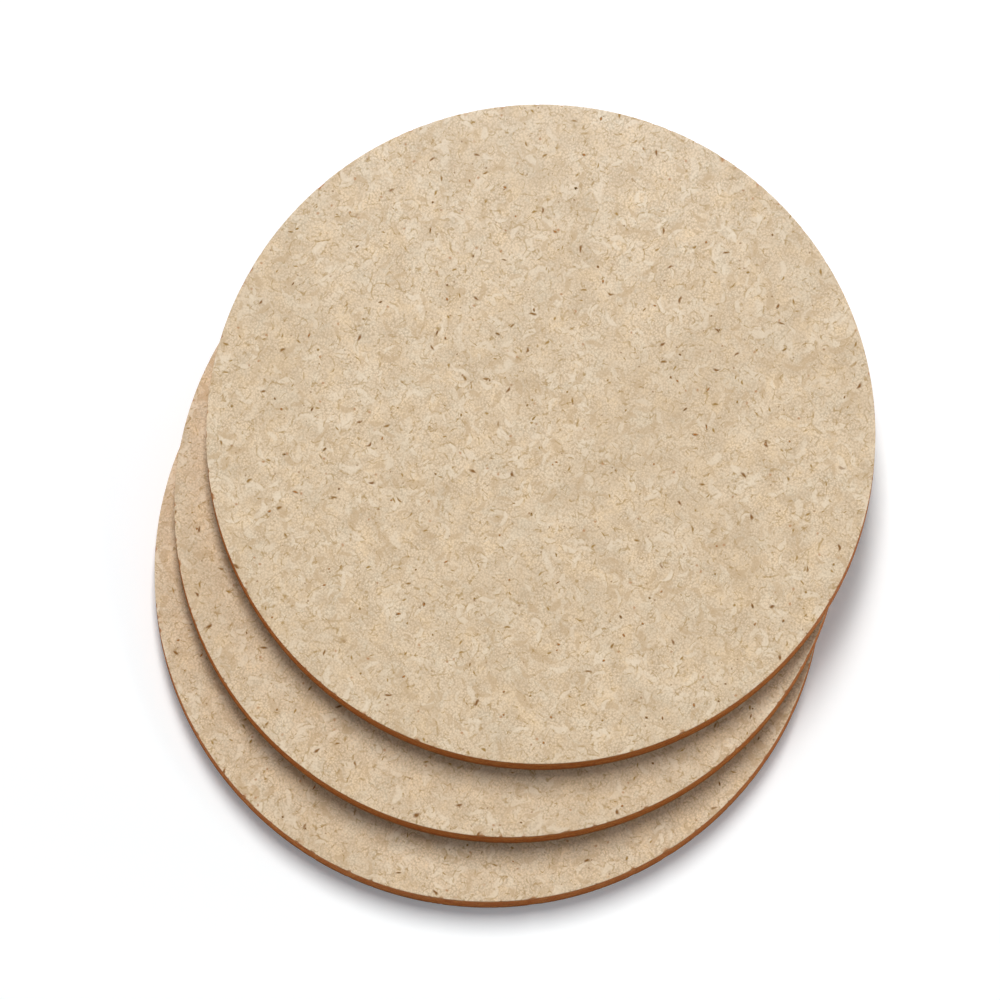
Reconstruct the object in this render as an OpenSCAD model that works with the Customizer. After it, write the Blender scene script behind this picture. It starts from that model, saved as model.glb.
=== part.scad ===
// A set of three round coasters, lying fanned out in a stack.
// Each coaster is a hardboard disc with a thin sheet of fine-grained cork bonded to each face.
// Origin: the centre of the lowest coaster's underside. +Z is up and +Y runs towards the back.

/* [Coaster] */
// Diameter of a coaster
coaster_d = 100; // [70:1:140]
// Thickness of the hardboard core
core_t = 4.8; // [2:0.1:8]
// Thickness of the cork sheet on each face
cork_t = 0.5; // [0.3:0.1:2]
// Thickness of the bonding film behind each cork sheet
film_t = 0.1; // [0.05:0.01:0.3]
// Radius that the sanded outer corner of a cork sheet is eased to
cork_ease = 0.2; // [0.05:0.05:0.25]

/* [Stack] */
// How far the middle coaster lies to the right of, and behind, the lowest one
middle_step = [3, 8.8]; // [-30:0.1:30]
// How far the top coaster lies to the right of, and behind, the middle one
top_step = [4.8, 10.1]; // [-30:0.1:30]

/* [Hidden] */
$fn = 180;
coaster_r = coaster_d / 2;

// Heights of the layers above a coaster's own underside
back_film_z = cork_t;
core_z = back_film_z + film_t;
face_film_z = core_z + core_t;
face_cork_z = face_film_z + film_t;
coaster_t = face_cork_z + cork_t;

// Places in the stack, from the table up
LOWEST = 0;
MIDDLE = 1;
TOP = 2;
centres = [[0, 0], middle_step, middle_step + top_step];

cork_colour = "#d8c0a2";
film_colour = "#b98d4e";
core_colour = "#a4683a";

// Puts a layer at its height z in the coaster that has this place in the stack
module layer(place, z) {
    translate([centres[place].x, centres[place].y, place * coaster_t + z]) children();
}

// A cork disc with its bonded side down and its outer corner eased to a quarter round
module cork_sheet() {
    rotate_extrude() union() {
        square([coaster_r, cork_t - cork_ease]);
        square([coaster_r - cork_ease, cork_t]);
        translate([coaster_r - cork_ease, cork_t - cork_ease]) circle(cork_ease);
    }
}

// The cork that the coaster lies on, with its eased corner down
module back_cork(place) {
    color(cork_colour) layer(place, back_film_z) mirror([0, 0, 1]) cork_sheet();
}

// The film that holds the back cork to the core
module back_film(place) {
    color(film_colour) layer(place, back_film_z) cylinder(r = coaster_r, h = film_t);
}

// The hardboard disc that keeps the coaster flat
module core(place) {
    color(core_colour) layer(place, core_z) cylinder(r = coaster_r, h = core_t);
}

// The film that holds the face cork to the core
module face_film(place) {
    color(film_colour) layer(place, face_film_z) cylinder(r = coaster_r, h = film_t);
}

// The cork that a glass stands on
module face_cork(place) {
    color(cork_colour) layer(place, face_cork_z) cork_sheet();
}

back_cork(LOWEST);  // bottom_back_cork
back_film(LOWEST);  // bottom_back_film
core(LOWEST);  // bottom_core
face_film(LOWEST);  // bottom_face_film
face_cork(LOWEST);  // bottom_face_cork

back_cork(MIDDLE);  // middle_back_cork
back_film(MIDDLE);  // middle_back_film
core(MIDDLE);  // middle_core
face_film(MIDDLE);  // middle_face_film
face_cork(MIDDLE);  // middle_face_cork

back_cork(TOP);  // top_back_cork
back_film(TOP);  // top_back_film
core(TOP);  // top_core
face_film(TOP);  // top_face_film
face_cork(TOP);  // top_face_cork
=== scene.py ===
import math

import bpy
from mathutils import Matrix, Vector


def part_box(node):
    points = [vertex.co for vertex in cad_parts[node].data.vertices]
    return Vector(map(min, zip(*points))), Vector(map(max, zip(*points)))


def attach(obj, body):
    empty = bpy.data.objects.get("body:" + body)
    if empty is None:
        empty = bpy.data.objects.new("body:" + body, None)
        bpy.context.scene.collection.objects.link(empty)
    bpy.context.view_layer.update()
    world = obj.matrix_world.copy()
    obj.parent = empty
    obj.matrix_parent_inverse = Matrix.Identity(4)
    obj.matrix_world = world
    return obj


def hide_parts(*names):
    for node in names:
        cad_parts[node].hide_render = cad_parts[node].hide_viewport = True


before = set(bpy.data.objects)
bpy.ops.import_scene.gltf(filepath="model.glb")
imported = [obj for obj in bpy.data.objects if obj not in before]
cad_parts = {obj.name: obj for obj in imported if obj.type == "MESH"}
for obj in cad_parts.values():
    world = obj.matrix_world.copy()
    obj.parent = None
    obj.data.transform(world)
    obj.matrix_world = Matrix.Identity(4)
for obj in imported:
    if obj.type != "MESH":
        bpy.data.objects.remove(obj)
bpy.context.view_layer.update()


# Hardboard cores
# Each coaster is built on a disc of dense brown fibreboard, pressed from wood fibre under heat.
# The cork is bonded to the board first and one cut trims all the layers, so the board's edge is
# bare cut fibre that runs flush with the cork above and below it.
COASTERS = ("bottom", "middle", "top")
MM = 0.001
BOARD_AROUND = 900
BOARD_ROWS = 18
CUT_DEPTH = 0.05 * MM
GROOVES_PER_MM = 0.9
FIBRES_PER_MM = 1.6
FIBRE_FLATNESS = 5.0
STRETCHES_PER_MM = 0.45
FUZZ_PER_MM = 5.0
BOARD_BUMP = 0.05 * MM
BOARD_GLOSS = 0.05
BOARD_BROWN = (0.396, 0.104, 0.019)
BOARD_DARK = (0.21, 0.052, 0.010)
BOARD_OCHRE = (0.57, 0.230, 0.060)
STRETCH_SHARE = 0.8
FIBRE_SHARE = 0.8
FUZZ_SHARE = 0.5


class Wire:
    """One output of a node tree. Arithmetic on it adds Math nodes, and add() puts in any other node."""

    def __init__(self, tree, socket=None):
        self.tree = tree
        self.socket = socket

    def add(self, kind, settings=(), sockets=(), output=0):
        """A new node of a kind, with its settings, then its sockets' values or links. Gives one output."""
        node = self.tree.nodes.new(kind)
        for name, value in dict(settings).items():
            setattr(node, name, value)
        for name, value in dict(sockets).items():
            socket = node.inputs[name]
            if isinstance(value, Wire):
                self.tree.links.new(value.socket, socket)
            elif socket.type == "RGBA":
                socket.default_value = (*value, 1.0)
            else:
                socket.default_value = value
        return Wire(self.tree, node.outputs[output] if node.outputs else None)

    def of(self, name):
        """Another output of the same node."""
        return Wire(self.tree, self.socket.node.outputs[name])

    def math(self, operation, *values):
        return self.add("ShaderNodeMath", {"operation": operation}, enumerate(values))

    def __add__(self, other):
        return self.math("ADD", self, other)

    def __sub__(self, other):
        return self.math("SUBTRACT", self, other)

    def __rsub__(self, other):
        return self.math("SUBTRACT", other, self)

    def __mul__(self, other):
        return self.math("MULTIPLY", self, other)

    def __truediv__(self, other):
        return self.math("DIVIDE", self, other)

    def __pow__(self, other):
        return self.math("POWER", self, other)

    def __abs__(self):
        return self.math("ABSOLUTE", self)

    __radd__ = __add__
    __rmul__ = __mul__

    def step(self, low, high):
        """A smooth step from 0 at low to 1 at high. A high below low turns the step round."""
        span = {"Value": self, "From Min": low, "From Max": high}
        return self.add("ShaderNodeMapRange", {"interpolation_type": "SMOOTHSTEP"}, span)

    def noise(self, per_mm, detail=2.0, roughness=0.5, across="3D"):
        """Soft noise over this place in mm, about 0.5 and with so many swells to the mm."""
        sockets = {"Vector": self, "Scale": per_mm, "Detail": detail, "Roughness": roughness}
        return self.add("ShaderNodeTexNoise", {"noise_dimensions": across}, sockets)

    def mix(self, share, under, over):
        """The colour under with a share of the colour over it."""
        sockets = {0: share, 6: under, 7: over}
        return self.add("ShaderNodeMix", {"data_type": "RGBA"}, sockets, output=2)

    def vector(self, operation, *values):
        return self.add("ShaderNodeVectorMath", {"operation": operation}, enumerate(values))


def new_finish(name):
    """A bare material, and a wire to the place on the piece, in mm."""
    material = bpy.data.materials.new(name)
    material.use_nodes = True
    material.node_tree.nodes.clear()
    place = Wire(material.node_tree).add("ShaderNodeTexCoord", output="Object")
    return material, place.vector("MULTIPLY", place, (1 / MM, 1 / MM, 1 / MM))


def end_finish(at, colour, roughness, height, depth, gloss):
    """Ends a material in a shader whose bumps are a height from 0 to 1 times a depth."""
    bump = at.add("ShaderNodeBump", {}, {"Distance": depth, "Height": height})
    shader = at.add("ShaderNodeBsdfPrincipled", {}, {
        "Base Color": colour, "Roughness": roughness, "Specular IOR Level": gloss, "Normal": bump})
    at.add("ShaderNodeOutputMaterial", {}, {"Surface": shader})


def new_tree(name, **inputs):
    """A tree of geometry nodes with these named inputs, and a wire to each of them."""
    tree = bpy.data.node_groups.new(name, "GeometryNodeTree")
    tree.interface.new_socket("Geometry", in_out="OUTPUT", socket_type="NodeSocketGeometry")
    for label, kind in inputs.items():
        tree.interface.new_socket(label, in_out="INPUT", socket_type="NodeSocket" + kind)
    given = tree.nodes.new("NodeGroupInput")
    return tree, {label: Wire(tree, given.outputs[label]) for label in inputs}


def end_tree(shape, finish):
    """Ends a tree in real, smooth faces that wear a finish."""
    shape = shape.add("GeometryNodeRealizeInstances", {}, {"Geometry": shape})
    shape = shape.add("GeometryNodeSetShadeSmooth", {}, {"Geometry": shape})
    shape = shape.add("GeometryNodeSetMaterial", {}, {"Geometry": shape, "Material": finish})
    shape.add("NodeGroupOutput", {}, {"Geometry": shape})


def grow(name, tree, **sizes):
    """A plain mesh piece, grown by a tree from the values of its named inputs."""
    piece = bpy.data.objects.new(name, bpy.data.meshes.new(name))
    bpy.context.scene.collection.objects.link(piece)
    modifier = piece.modifiers.new("growth", "NODES")
    modifier.node_group = tree
    for socket in tree.interface.items_tree:
        if socket.in_out == "INPUT" and socket.name in sizes:
            modifier[socket.identifier] = sizes[socket.name]
    graph = bpy.context.evaluated_depsgraph_get()
    grown = bpy.data.meshes.new_from_object(
        piece.evaluated_get(graph), preserve_all_data_layers=True, depsgraph=graph)
    piece.modifiers.clear()
    piece.data = grown
    return piece


def hardboard_finish():
    """Cut fibreboard: short fibres lying flat, redder and more ochre stretches, and a fine fuzz."""
    material, at = new_finish("hardboard")
    layered = at.vector("MULTIPLY", at, (1.0, 1.0, FIBRE_FLATNESS))
    fibre = layered.noise(FIBRES_PER_MM, 4.0, 0.65)
    stretch = layered.noise(STRETCHES_PER_MM, 3.0, 0.6)
    fuzz = at.noise(FUZZ_PER_MM, 3.0, 0.7)
    colour = at.mix(STRETCH_SHARE * stretch.step(0.38, 0.68), BOARD_BROWN, BOARD_OCHRE)
    colour = at.mix(FIBRE_SHARE * fibre.step(0.54, 0.38), colour, BOARD_DARK)
    colour = at.mix(FUZZ_SHARE * fuzz.step(0.54, 0.68), colour, BOARD_OCHRE)
    end_finish(at, colour, 0.55 + 0.3 * fuzz, fibre + 0.5 * fuzz, BOARD_BUMP, BOARD_GLOSS)
    return material


def board_tree():
    """A disc whose cut edge is worn into by shallow grooves along the fibre."""
    tree, given = new_tree(
        "board", Centre="Vector", Radius="Float", Height="Float", Cut="Float", Finish="Material")
    disc = given["Radius"].add("GeometryNodeMeshCylinder", {}, {
        "Vertices": BOARD_AROUND, "Side Segments": BOARD_ROWS,
        "Radius": given["Radius"], "Depth": given["Height"]})
    disc = disc.add("GeometryNodeTransform", {}, {"Geometry": disc, "Translation": given["Centre"]})
    place = disc.add("GeometryNodeInputPosition")
    at = place.vector("MULTIPLY", place, (1 / MM, 1 / MM, FIBRE_FLATNESS / MM))
    groove = at.noise(GROOVES_PER_MM, 3.0, 0.6).step(0.35, 0.7) * given["Cut"]
    out = place.vector("SUBTRACT", place, given["Centre"])
    out = place.vector("NORMALIZE", place.vector("MULTIPLY", out, (1.0, 1.0, 0.0)))
    inward = place.add("ShaderNodeVectorMath", {"operation": "SCALE"}, {0: out, "Scale": -1.0 * groove})
    disc = disc.add("GeometryNodeSetPosition", {}, {"Geometry": disc, "Offset": inward})
    end_tree(disc, given["Finish"])
    return tree


def middle_of(node):
    """The middle of a round layer, its radius and its height."""
    low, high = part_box(node)
    radius = (high.y - low.y) / 2
    return Vector((high.x - radius, low.y + radius, (low.z + high.z) / 2)), radius, high.z - low.z


board = board_tree()
board_finish = hardboard_finish()
for coaster in COASTERS:
    centre, radius, height = middle_of(f"{coaster}_core")
    core = grow(f"{coaster}_hardboard", board, Centre=centre, Radius=radius, Height=height,
                Cut=CUT_DEPTH, Finish=board_finish)
    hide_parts(f"{coaster}_core")
    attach(core, f"{coaster}_coaster")


# Bonding films
# A thin film of brown glue holds each cork sheet to the board. It is pressed hot and trimmed with the
# rest, so all that shows is a fine brown line, a little shinier than the fibre, between cork and board.
GLUE_BROWN = (0.29, 0.100, 0.024)
GLUE_AMBER = (0.42, 0.180, 0.050)
THICK_PATCHES_PER_MM = 0.5
PORES_PER_MM = 4.0
GLUE_BUMP = 0.02 * MM
GLUE_GLOSS = 0.4


def glue_finish():
    """Set glue, unevenly thick, with patches where more light gets through."""
    material, at = new_finish("bonding film")
    thick = at.noise(THICK_PATCHES_PER_MM, 3.0, 0.6)
    pores = at.noise(PORES_PER_MM, 2.0, 0.5)
    colour = at.mix(thick.step(0.42, 0.68), GLUE_BROWN, GLUE_AMBER)
    end_finish(at, colour, 0.35 + 0.3 * pores, pores, GLUE_BUMP, GLUE_GLOSS)
    return material


film_finish = glue_finish()
for coaster in COASTERS:
    for side in ("back", "face"):
        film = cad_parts[f"{coaster}_{side}_film"]
        film.data.materials.clear()
        film.data.materials.append(film_finish)


# Cork sheets
# Each board has a sheet of fine pressed cork on both faces. The sheets are sliced from one block of pale
# cork flakes and binder and sanded flat, so cut flakes, their seams and small pits show in the face.
# Trimming drags brown dust over their cut edge, and here and there a flake has broken out of the corner.
FACE_RINGS = 147
BACK_RINGS = 90
EASE_RINGS = 4
WALL_RINGS = 2
UNDER_RINGS = 3
EASE = 0.08 * MM
RELIEF = 0.03 * MM
CHIP_DEPTH = 0.12 * MM
CHIPS_PER_MM = 0.7
CHIP_FROM = 0.985
CHIP_DROP = 0.6
MERGE = 0.001 * MM
CORK_BUMP = 0.04 * MM
CORK_GLOSS = 0.25
SAND_DARK = (0.528, 0.397, 0.260)
SAND_PALE = (0.812, 0.646, 0.462)
CORK_PALE = (0.800, 0.670, 0.512)
CORK_TAN = (0.552, 0.396, 0.238)
HONEY_DARK = (0.572, 0.424, 0.268)
HONEY_PALE = (0.860, 0.666, 0.448)
ASH_DARK = (0.546, 0.434, 0.304)
ASH_PALE = (0.824, 0.684, 0.508)
SEAM_OLIVE = (0.335, 0.195, 0.044)
EDGE_BROWN = (0.40, 0.155, 0.042)
SPECK_BROWN = (0.200, 0.082, 0.012)
SPECK_RUST = (0.400, 0.160, 0.045)

# Sorts of flakes: the cell that holds one, its length and its width in mm, and its bend
FLAKE_SORTS = ((3.2, 3.4, 1.05, 1.1), (2.5, 2.8, 0.85, 1.2), (2.9, 3.2, 0.75, 1.3), (1.9, 2.1, 0.60, 1.1))
DASH_SORT = (2.7, 0.95, 0.38, 0.8)
FLECK_SORT = (1.35, 0.46, 0.36, 0.4)
FLAKE_SMALLEST = 0.6
FLAKE_SPREAD = 0.8
DRAWS_PER_CELL = 37.3
DRAW_SPREAD = 9.0
SORT_APART = (17.3, 9.1)
ARC_SORTS = (0.34, 0.56)
ARC_HALF = 0.08
ARC_GAPS = 1.4
SEAM_AT = 1.02
SEAM_HALF = 0.48
BENDS_PER_MM = 0.8
BEND_BY = 0.5
CURL_BY = 0.6
BREAKS_PER_MM = 1.0
CLOUDS_PER_MM = 0.25
BLOCK_PLACES = {"bottom": (310.0, 90.0), "middle": (-140.0, 260.0), "top": (0.0, 0.0)}
BACK_PLACE = 517.0

# The sandy grain between the flakes, turned so that it doesn't run along the sheet's own axes
GRAIN_TURN = 0.6
SAND_PER_MM = 2.7
BEADS_PER_MM = 2.9
DUST_PER_MM = 6.1
TINTS_PER_MM = 0.22
ROUGH_PER_MM = 0.35
PATCHES_PER_MM = 0.05
BEAD_MIDDLE = 0.40
SAND_SHARE = 0.36
DUST_SHARE = 0.36
BEAD_SHARE = 0.50
GRIT_MOST = 0.94
GRIT_CALMED = 0.36
CLOUD_SHARE = 0.4

# How much of each mark's colour covers what lies under it, and where the stain begins and is full, in mm
TINT_SHARE = 0.9
FLAKE_SHARE = 0.64
SEAM_SHARE = 0.43
PATCH_SHARE = 0.18
ARC_SHARE = 0.58
DASH_SHARE = 0.95
FLECK_SHARE = 0.65
STAIN_SHARE = 0.92
STAIN_FROM = 0.02
STAIN_FULL = 0.12

# How much each mark adds to the wear of the face, as shares of the relief
WEAR_ALL = 0.6
WEAR_CLOUD = 0.8
WEAR_DASH = 0.4
WEAR_ARC = 0.3
WEAR_SEAM = 0.35
FLAKE_PROUD = 0.2
WEAR_LEAST = 0.1

# Shares of the flat layout that the face, the corner, the cut edge and the underside take up
LAYOUT_FACE = 0.47
LAYOUT_CORNER = 0.010
LAYOUT_EDGE = 0.008
LAYOUT_UNDER = 0.010


def flakes(at, cell, length, width, bend):
    """One bent flake at a random turn in each cell. Gives how far out from its spine a place lies, with its
    outline at 1, the side of the spine that it is on, and the cell's chances as a wire with X, Y and Z."""
    spread = at.vector("MULTIPLY", at, (1 / cell, 1 / cell, 1 / cell))
    cells = at.add("ShaderNodeTexVoronoi", {"voronoi_dimensions": "2D"}, {
        "Vector": spread, "Scale": 1.0, "Randomness": 0.9})
    drawn = cells.of("Position").noise(DRAWS_PER_CELL, 0.0, across="2D").of("Color")
    chance = at.add("ShaderNodeSeparateXYZ", {}, {
        0: at.vector("FRACTION", at.vector("MULTIPLY", drawn, (DRAW_SPREAD, DRAW_SPREAD, DRAW_SPREAD)))})
    away = at.vector("SUBTRACT", spread, cells.of("Position"))
    turn = {"Vector": away, "Angle": 2 * math.pi * chance}
    turned = at.add("ShaderNodeVectorRotate", {"rotation_type": "Z_AXIS"}, turn)
    along = at.add("ShaderNodeSeparateXYZ", {}, {0: turned})
    size = FLAKE_SMALLEST + FLAKE_SPREAD * chance.of("Z")
    ahead = along * (2 * cell / length) / size
    aside = (along.of("Y") * (2 * cell / width) + bend * (along * along) * (4 * cell / length)) / size
    return (ahead * ahead + aside * aside) ** 0.5, aside, chance


def pressed(at):
    """The pressed flakes at a flat place in mm, as masks from 0 to 1, alike for relief and colour."""
    wander = at.noise(BENDS_PER_MM, 1.0, across="2D").of("Color")
    wander = at.vector("SUBTRACT", wander, (0.5, 0.5, 0.5))
    bent = at.vector("ADD", at, at.vector("MULTIPLY", wander, (BEND_BY, BEND_BY, BEND_BY)))
    curl = at.vector("ADD", at, at.vector("MULTIPLY", wander, (CURL_BY, CURL_BY, CURL_BY)))
    broken = at.noise(BREAKS_PER_MM, 1.0, across="2D").step(0.45, 0.60)
    sorts = []
    for number, sort in enumerate(FLAKE_SORTS):
        moved = at.vector("ADD", bent, (SORT_APART[0] * number, SORT_APART[1] * number, 0.0))
        out, side, chance = flakes(moved, *sort)
        seam = (1 - abs(out - SEAM_AT) / SEAM_HALF).step(0.0, 1.0) * side.step(-0.1, 0.5)
        seam = seam * chance.of("Y").step(0.25, 0.55) * broken
        sorts.append((out.step(1.16, 0.66), chance.of("Y"), seam))
    dash, _, dash_chance = flakes(curl, *DASH_SORT)
    arc = 0.0
    for per_mm in ARC_SORTS:
        fold = bent.noise(per_mm, 0.0, across="2D")
        kept = at.noise(ARC_GAPS * per_mm, 0.0, across="2D").step(0.54, 0.60)
        arc = arc + (1 - abs(fold - 0.5) / (ARC_HALF * per_mm)).step(0.0, 1.0) * kept
    return {
        "sorts": sorts,
        "arc": arc * broken,
        "dash": dash.step(1.15, 0.25) * dash_chance.of("Y").step(0.76, 0.82),
        "dash tone": dash_chance.of("Z"),
        "cloud": bent.noise(CLOUDS_PER_MM, 3.0, 0.6, across="2D"),
    }


def cork_finish(coaster, side, place, level, turned):
    """Sanded cork: flakes in cream, honey and ash with olive seams, dark dashes and a sandy grain. What lies
    below the sheet's own level, at its cut edge and in its chips, is stained brown."""
    material, spot = new_finish(f"{coaster} {side} cork")
    at = spot.vector("ADD", spot.vector("MULTIPLY", spot, (1.0, 1.0, 0.0)), place)
    grain = pressed(at)
    skewed = at.add("ShaderNodeVectorRotate", {"rotation_type": "Z_AXIS"}, {
        "Vector": at, "Angle": GRAIN_TURN})
    sand = skewed.noise(SAND_PER_MM, 1.0, 0.6, across="2D")
    beads = at.add("ShaderNodeTexVoronoi", {"voronoi_dimensions": "2D"}, {
        "Vector": skewed, "Scale": BEADS_PER_MM})
    dust = skewed.noise(DUST_PER_MM, 1.0, 0.6, across="2D")
    tint = skewed.noise(TINTS_PER_MM, 4.0, 0.75, across="2D")
    rough = skewed.noise(ROUGH_PER_MM, 2.0, 0.6, across="2D")
    patch = skewed.noise(PATCHES_PER_MM, 3.0, 0.6, across="2D")
    fleck, _, fleck_chance = flakes(at, *FLECK_SORT)
    fleck = fleck.step(1.15, 0.25) * fleck_chance.of("Y").step(0.90, 0.95)
    grit = SAND_SHARE * (sand - 0.5) + DUST_SHARE * (dust - 0.5) + BEAD_SHARE * (BEAD_MIDDLE - beads)
    gritty = (GRIT_MOST - GRIT_CALMED * rough.step(0.62, 0.42)) * grit
    sandy = 0.5 + gritty + CLOUD_SHARE * (grain["cloud"] - 0.5)
    pale = sandy.step(0.20, 0.80)
    colour = at.mix(pale, SAND_DARK, SAND_PALE)
    colour = at.mix(TINT_SHARE * tint.step(0.5, 0.68), colour, at.mix(pale, HONEY_DARK, HONEY_PALE))
    colour = at.mix(TINT_SHARE * tint.step(0.5, 0.32), colour, at.mix(pale, ASH_DARK, ASH_PALE))
    for mask, tone, seam in grain["sorts"]:
        flake = at.mix((tone + 1.2 * gritty).step(0.05, 0.95), CORK_TAN, CORK_PALE)
        colour = at.mix(FLAKE_SHARE * mask * abs(tone - 0.5).step(0.16, 0.50), colour, flake)
        colour = at.mix(SEAM_SHARE * seam, colour, SEAM_OLIVE)
    colour = at.mix(PATCH_SHARE * patch.step(0.55, 0.35), colour, SAND_DARK)
    colour = at.mix(ARC_SHARE * grain["arc"], colour, SEAM_OLIVE)
    olive = at.mix(grain["dash tone"].step(0.5, 0.95), SEAM_OLIVE, SPECK_BROWN)
    colour = at.mix(DASH_SHARE * grain["dash"], colour, olive)
    bark = at.mix(fleck_chance.of("Z").step(0.5, 0.7), SPECK_BROWN, SPECK_RUST)
    colour = at.mix(FLECK_SHARE * fleck, colour, bark)
    height_above = spot.add("ShaderNodeSeparateXYZ", {}, {0: spot}).of("Z")
    below = turned * (level / MM - height_above)
    colour = at.mix(STAIN_SHARE * below.step(STAIN_FROM, STAIN_FULL), colour, EDGE_BROWN)
    height = 0.6 * sand + 0.25 * dust - 0.1 * grain["dash"]
    end_finish(at, colour, 0.78 + 0.2 * dust, height, CORK_BUMP, CORK_GLOSS)
    return material


def sheet_tree():
    """A sheet made of rings: they cross its face, turn over the eased corner, go down the cut edge and close
    below. Its face is pitted where the flakes' seams are and its corner is chipped."""
    tree, given = new_tree(
        "cork sheet", Centre="Vector", Radius="Float", Thickness="Float", Ease="Float", Side="Float",
        Rings="Int", Place="Vector", Relief="Float", Chip="Float", Finish="Material")
    rings = given["Rings"]
    reach = rings + (EASE_RINGS + WALL_RINGS + UNDER_RINGS)
    grid = rings.add("GeometryNodeMeshGrid", {}, {
        "Size X": 2 * reach, "Size Y": 2 * reach, "Vertices X": 2 * reach + 1, "Vertices Y": 2 * reach + 1})
    start = grid.add("ShaderNodeSeparateXYZ", {}, {0: grid.add("GeometryNodeInputPosition")})
    x, y = start, start.of("Y")
    wide = x.math("GREATER_THAN", abs(x), abs(y))
    ring = x.math("MAXIMUM", abs(x), abs(y))
    eighth = x.math("MINIMUM", abs(x), abs(y)) / ring * (math.pi / 4)
    near, far = x.math("COSINE", eighth), x.math("SINE", eighth)
    east = x.math("SIGN", x) * (wide * near + (1 - wide) * far)
    north = x.math("SIGN", y) * (wide * far + (1 - wide) * near)

    def share(first, count):
        """How far the rings from first on have got, from 0 to 1."""
        return ring.add("ShaderNodeClamp", {}, {"Value": (ring - first) / count})

    over_face = share(0.0, rings)
    over_corner = share(rings, EASE_RINGS)
    down_edge = share(rings + EASE_RINGS, WALL_RINGS)
    under = share(rings + (EASE_RINGS + WALL_RINGS), UNDER_RINGS)
    bend = over_corner * (math.pi / 2)
    radius = (given["Radius"] - given["Ease"]) * over_face + given["Ease"] * x.math("SINE", bend)
    height = given["Thickness"] - given["Ease"] * (1 - x.math("COSINE", bend))
    height = height - (given["Thickness"] - given["Ease"]) * down_edge

    middle = x.add("ShaderNodeSeparateXYZ", {}, {0: given["Centre"]})
    flat = x.add("ShaderNodeCombineXYZ", {}, {
        "X": (middle + given["Side"] * east * radius) * (1 / MM),
        "Y": (middle.of("Y") + north * radius) * (1 / MM)})
    grain = pressed(flat.vector("ADD", flat, given["Place"]))
    worn = WEAR_ALL + WEAR_CLOUD * (0.5 - grain["cloud"])
    worn = worn + WEAR_DASH * grain["dash"] + WEAR_ARC * grain["arc"]
    for mask, tone, seam in grain["sorts"]:
        worn = worn + WEAR_SEAM * seam - FLAKE_PROUD * mask * tone
    worn = x.math("MAXIMUM", worn, WEAR_LEAST) * (1 - down_edge) * given["Relief"]
    chip = flat.noise(CHIPS_PER_MM, 2.0, across="2D").step(0.58, 0.74)
    chip = chip * over_face.step(CHIP_FROM, 1.0) * (1 - down_edge)
    radius = (radius - given["Chip"] * chip) * (1 - under)
    height = height - worn - CHIP_DROP * given["Chip"] * chip

    spot = x.add("ShaderNodeCombineXYZ", {}, {
        "X": middle + given["Side"] * east * radius,
        "Y": middle.of("Y") + north * radius,
        "Z": middle.of("Z") + given["Side"] * height})
    spread = LAYOUT_FACE * over_face + LAYOUT_CORNER * over_corner
    spread = spread + LAYOUT_EDGE * down_edge + LAYOUT_UNDER * under
    layout = x.add("ShaderNodeCombineXYZ", {}, {"X": 0.5 + east * spread, "Y": 0.5 + north * spread})
    sheet = grid.add(
        "GeometryNodeStoreNamedAttribute", {"data_type": "FLOAT2", "domain": "CORNER"},
        {"Geometry": grid, "Name": "OFBake", "Value": layout})
    sheet = sheet.add("GeometryNodeSetPosition", {}, {"Geometry": sheet, "Position": spot})
    sheet = sheet.add("GeometryNodeMergeByDistance", {}, {"Geometry": sheet, "Distance": MERGE})
    end_tree(sheet, given["Finish"])
    return tree


sheet = sheet_tree()
for coaster in COASTERS:
    for side, turned, rings in (("back", -1.0, BACK_RINGS), ("face", 1.0, FACE_RINGS)):
        node = f"{coaster}_{side}_cork"
        centre, radius, thickness = middle_of(node)
        bonded = centre - Vector((0.0, 0.0, turned * thickness / 2))
        level = centre.z + turned * thickness / 2
        shift = BACK_PLACE if side == "back" else 0.0
        place = (BLOCK_PLACES[coaster][0] + shift, BLOCK_PLACES[coaster][1], 0.0)
        cork = grow(f"{coaster}_{side}_cork_sheet", sheet, Centre=bonded, Radius=radius, Thickness=thickness,
                    Ease=EASE, Side=turned, Rings=rings, Place=place, Relief=RELIEF, Chip=CHIP_DEPTH,
                    Finish=cork_finish(coaster, side, place, level, turned))
        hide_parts(node)
        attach(cork, f"{coaster}_coaster")


# Bark specks
# Crumbs of dark bark went into the block along with the cork. Sanding cut them off flush with the face, so
# they show on both sides of a coaster as small brown, rust and olive marks that lie every way.
CRUMBS_PER_M2 = 15000
BOTH_FACES = 2.0
STREWN_SIDES = 96
FIRST_SEED = 11
CRUMB_SHORT = 0.36 * MM
CRUMB_LONG = 1.00 * MM
CRUMB_NARROW = 0.25 * MM
CRUMB_WIDE = 0.43 * MM
CRUMB_DEEP = 0.12 * MM
CRUMB_BEND = 0.3 * MM
CRUMB_BENDS_PER_MM = 1.7
RIM_CLEAR = 0.9 * MM
FLUSH = 0.002 * MM
CRUMB_SIDES = 10
CRUMB_ROWS = 4
BARK_BROWN = (0.155, 0.062, 0.011)
BARK_RUST = (0.36, 0.135, 0.028)
BARK_OLIVE = (0.30, 0.175, 0.042)
BARK_PALE = (0.50, 0.355, 0.205)
BARK_SORTS_PER_MM = 0.45
BARK_GRIT_PER_MM = 7.0
BARK_BUMP = 0.03 * MM
BARK_GLOSS = 0.2


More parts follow.
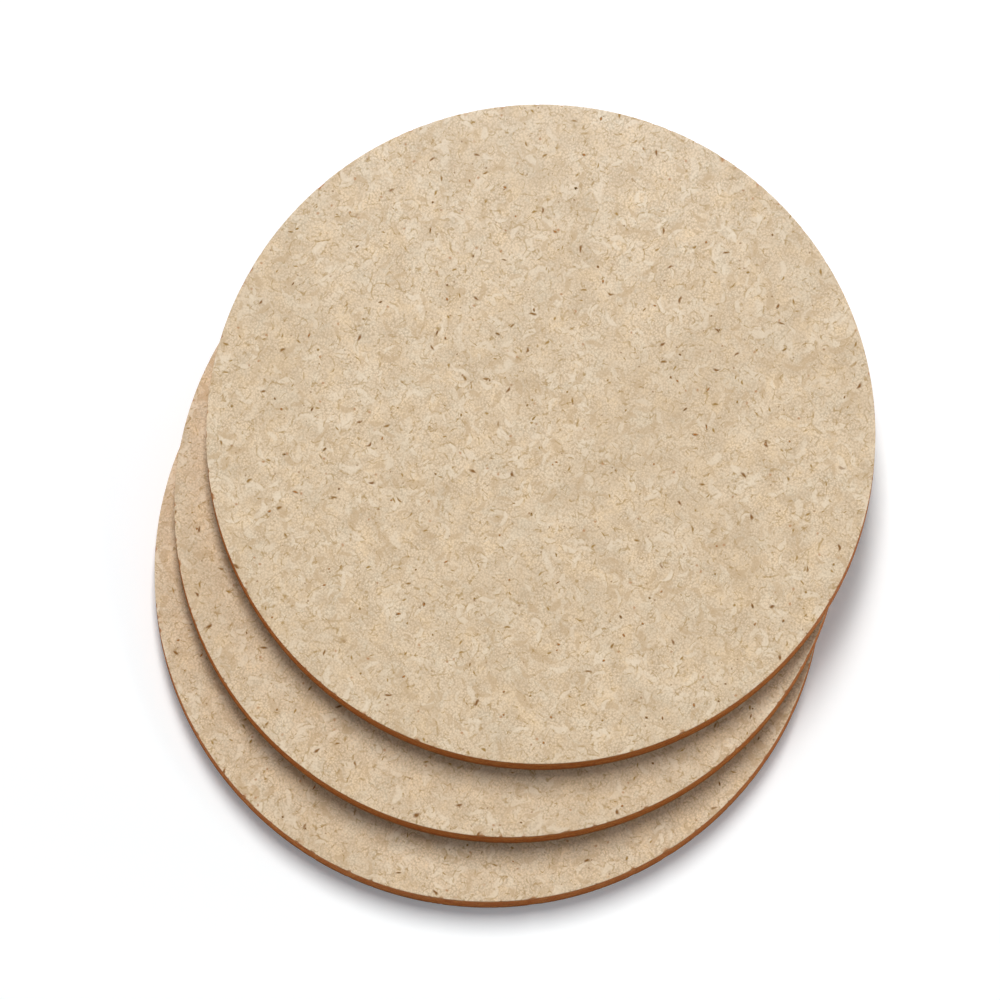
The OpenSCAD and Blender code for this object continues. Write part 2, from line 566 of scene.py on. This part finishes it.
def bark_finish():
    """Cut bark, from dark brown over rust to olive, grainy within each crumb and pale at its thin rim."""
    material, at = new_finish("bark")
    sort = at.noise(BARK_SORTS_PER_MM, 1.0)
    grit = at.noise(BARK_GRIT_PER_MM, 2.0, 0.6)
    colour = at.mix(sort.step(0.50, 0.56), BARK_BROWN, BARK_RUST)
    colour = at.mix(sort.step(0.47, 0.41), colour, BARK_OLIVE)
    colour = at.mix(0.5 * grit.step(0.5, 0.7), colour, BARK_OLIVE)
    rim = at.add("ShaderNodeAttribute", {"attribute_name": "rim"}, output="Fac")
    colour = at.mix(0.9 * rim.step(0.3, 1.0), colour, BARK_PALE)
    end_finish(at, colour, 0.7 + 0.2 * grit, grit, BARK_BUMP, BARK_GLOSS)
    return material


def speck_tree():
    """Crumbs strewn over the two faces of a coaster, each turned and bent by chance and cut off flush."""
    tree, given = new_tree(
        "bark specks", Centre="Vector", Radius="Float", Back="Float", Face="Float", Density="Float",
        Seed="Int", Finish="Material")

    def chance(number):
        """A number from 0 to 1 for each crumb, from a draw of its own."""
        return given["Seed"].add("FunctionNodeRandomValue", {"data_type": "FLOAT"}, {
            2: 0.0, 3: 1.0, "Seed": given["Seed"] + number}, output=1)

    disc = given["Radius"].add("GeometryNodeMeshCircle", {"fill_type": "NGON"}, {
        "Vertices": STREWN_SIDES, "Radius": given["Radius"]})
    disc = disc.add("GeometryNodeTransform", {}, {"Geometry": disc, "Translation": given["Centre"]})
    points = disc.add("GeometryNodeDistributePointsOnFaces", {}, {
        "Mesh": disc, "Density": given["Density"], "Seed": given["Seed"]})
    upper = chance(1).math("GREATER_THAN", chance(1), 0.5)
    level = given["Back"] + (given["Face"] - given["Back"]) * upper
    lift = points.add("ShaderNodeCombineXYZ", {}, {"Z": level})
    points = points.add("GeometryNodeSetPosition", {}, {"Geometry": points, "Offset": lift})
    crumb = points.add("GeometryNodeMeshUVSphere", {}, {
        "Segments": CRUMB_SIDES, "Rings": CRUMB_ROWS, "Radius": 0.5})
    across = crumb.vector("MULTIPLY", crumb.add("GeometryNodeInputPosition"), (2.0, 2.0, 0.0))
    rim = crumb.add("ShaderNodeVectorMath", {"operation": "LENGTH"}, {0: across}, output="Value")
    crumb = crumb.add("GeometryNodeStoreNamedAttribute", {"data_type": "FLOAT", "domain": "POINT"}, {
        "Geometry": crumb, "Name": "rim", "Value": rim})
    size = points.add("ShaderNodeCombineXYZ", {}, {
        "X": CRUMB_SHORT + (CRUMB_LONG - CRUMB_SHORT) * chance(2) ** 2,
        "Y": CRUMB_NARROW + (CRUMB_WIDE - CRUMB_NARROW) * chance(3),
        "Z": CRUMB_DEEP})
    turn = points.add("ShaderNodeCombineXYZ", {}, {"Z": 2 * math.pi * chance(4)})
    crumbs = points.add("GeometryNodeInstanceOnPoints", {}, {
        "Points": points, "Instance": crumb, "Rotation": turn, "Scale": size})
    crumbs = crumbs.add("GeometryNodeRealizeInstances", {}, {"Geometry": crumbs})
    place = crumbs.add("GeometryNodeInputPosition")
    at = place.vector("MULTIPLY", place, (1 / MM, 1 / MM, 1 / MM))
    wander = at.noise(CRUMB_BENDS_PER_MM, 2.0).of("Color")
    wander = place.vector("SUBTRACT", wander, (0.5, 0.5, 0.5))
    moved = place.vector("ADD", place, place.vector("MULTIPLY", wander, (CRUMB_BEND, CRUMB_BEND, 0.0)))
    moved = place.add("ShaderNodeSeparateXYZ", {}, {0: moved})
    height = place.math("MINIMUM", moved.of("Z"), given["Face"] - FLUSH)
    spot = place.add("ShaderNodeCombineXYZ", {}, {
        "X": moved, "Y": moved.of("Y"), "Z": place.math("MAXIMUM", height, given["Back"] + FLUSH)})
    crumbs = crumbs.add("GeometryNodeSetPosition", {}, {"Geometry": crumbs, "Position": spot})
    end_tree(crumbs, given["Finish"])
    return tree


specks = speck_tree()
speck_finish = bark_finish()
for seed, coaster in enumerate(COASTERS, FIRST_SEED):
    centre, radius, thickness = middle_of(f"{coaster}_core")
    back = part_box(f"{coaster}_back_cork")[0].z
    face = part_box(f"{coaster}_face_cork")[1].z
    bark = grow(f"{coaster}_bark_specks", specks, Centre=(centre.x, centre.y, 0.0),
                Radius=radius - RIM_CLEAR, Back=back, Face=face, Density=BOTH_FACES * CRUMBS_PER_M2,
                Seed=seed, Finish=speck_finish)
    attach(bark, f"{coaster}_coaster")


# Floor, light and camera
# The stack lies on a plain white floor. A tall lamp stands above and behind it, and weaker ones are a fill
# at the upper right, a low lamp at each side and a cool glow close behind, with even light from the sky.
# The camera looks down from nearly overhead through a long lens.
FLOOR_SIDE = 6.0
FLOOR_WHITE = (0.974, 0.990, 1.0)
FLOOR_LIFT = (0.057, 0.073, 0.090)
LAMP_FAR = 2.5
LAMP_UP = math.radians(68.3)
LAMP_LEFT = math.radians(1)
LAMP_WIDE = 0.5
LAMP_HIGH = 1.35
LAMP_WATTS = 50.3
LAMP_COLOUR = (1.0, 0.975, 0.945)
SIDE_FAR = 1.5
SIDE_UP = math.radians(7)
FILL_UP = math.radians(47)
SIDE_LONG = 0.8
SIDE_HIGH = 0.2
LEFT_WATTS = 4.2
RIGHT_WATTS = 4.8
FILL_WATTS = 1.4
SIDE_COLOUR = (0.88, 0.96, 1.0)
FILL_COLOUR = (1.0, 0.985, 0.97)
GLOW_WATTS = 0.012
GLOW_COLOUR = (0.45, 0.65, 1.0)
GLOW_WIDE = 0.12
GLOW_HIGH = 0.02
GLOW_AT = Vector((8.0 * MM, 100.0 * MM, 56.0 * MM))
SKY = 0.21
SKY_COLOUR = (0.92, 1.0, 1.04)
CAMERA_UP = math.radians(80.3)
CAMERA_FAR = 5.0
SENSOR_WIDE = 36.0
FRAME_WIDE = 149.9 * MM
LOOK_AT = Vector((1.71 * MM, 11.90 * MM, 0.0))

scene = bpy.context.scene
floor_mesh = bpy.data.meshes.new("floor")
half = FLOOR_SIDE / 2
floor_mesh.from_pydata(
    [(-half, -half, 0.0), (half, -half, 0.0), (half, half, 0.0), (-half, half, 0.0)], [], [(0, 1, 2, 3)])
floor = bpy.data.objects.new("floor", floor_mesh)
scene.collection.objects.link(floor)
floor_finish, at = new_finish("floor")
seen = at.add("ShaderNodeLightPath", output="Is Camera Ray")
shader = at.add("ShaderNodeBsdfPrincipled", {}, {
    "Base Color": FLOOR_WHITE, "Roughness": 1.0, "Specular IOR Level": 0.0,
    "Emission Color": at.mix(seen, (0.0, 0.0, 0.0), FLOOR_LIFT), "Emission Strength": 1.0})
at.add("ShaderNodeOutputMaterial", {}, {"Surface": shader})
floor_mesh.materials.append(floor_finish)

world = bpy.data.worlds.new("studio")
world.use_nodes = True
world.node_tree.nodes.clear()
ray = Wire(world.node_tree).add("ShaderNodeLightPath", output="Is Camera Ray")
seen = ray.math("MAXIMUM", ray, ray.math("MAXIMUM", ray.of("Is Glossy Ray"), ray.of("Is Transmission Ray")))
sky = ray.add("ShaderNodeBackground", {}, {
    "Color": ray.mix(seen, SKY_COLOUR, (1.0, 1.0, 1.0)), "Strength": SKY + (1 - SKY) * seen})
ray.add("ShaderNodeOutputWorld", {}, {"Surface": sky})
scene.world = world


def area_lamp(name, watts, colour, wide, high, at):
    """An area lamp at a place, facing the middle of the stack and not seen by the camera."""
    data = bpy.data.lights.new(name, "AREA")
    data.energy = watts
    data.color = colour
    data.shape = "RECTANGLE"
    data.size = wide
    data.size_y = high
    lamp = bpy.data.objects.new(name, data)
    lamp.location = at
    lamp.rotation_euler = (at - LOOK_AT).to_track_quat("Z", "Y").to_euler()
    lamp.visible_camera = False
    scene.collection.objects.link(lamp)


lamp_back = math.cos(LAMP_UP)
lamp_way = Vector((-lamp_back * math.sin(LAMP_LEFT), lamp_back * math.cos(LAMP_LEFT), math.sin(LAMP_UP)))
area_lamp("lamp", LAMP_WATTS, LAMP_COLOUR, LAMP_WIDE, LAMP_HIGH, LOOK_AT + LAMP_FAR * lamp_way)
area_lamp("glow", GLOW_WATTS, GLOW_COLOUR, GLOW_WIDE, GLOW_HIGH, GLOW_AT)
for name, way, up, watts, colour in (
        ("left side", -1.0, SIDE_UP, LEFT_WATTS, SIDE_COLOUR),
        ("right side", 1.0, SIDE_UP, RIGHT_WATTS, SIDE_COLOUR),
        ("right fill", 1.0, FILL_UP, FILL_WATTS, FILL_COLOUR)):
    side_way = Vector((way * math.cos(up), 0.0, math.sin(up)))
    area_lamp(name, watts, colour, SIDE_LONG, SIDE_HIGH, LOOK_AT + SIDE_FAR * side_way)

camera_data = bpy.data.cameras.new("camera")
camera_data.sensor_width = SENSOR_WIDE
camera_data.lens = SENSOR_WIDE * CAMERA_FAR / FRAME_WIDE
camera = bpy.data.objects.new("camera", camera_data)
camera_way = Vector((0.0, -math.cos(CAMERA_UP), math.sin(CAMERA_UP)))
camera.location = LOOK_AT + camera_way * CAMERA_FAR
camera.rotation_euler = camera_way.to_track_quat("Z", "Y").to_euler()
scene.collection.objects.link(camera)
scene.camera = camera
scene.view_settings.view_transform = "Standard"
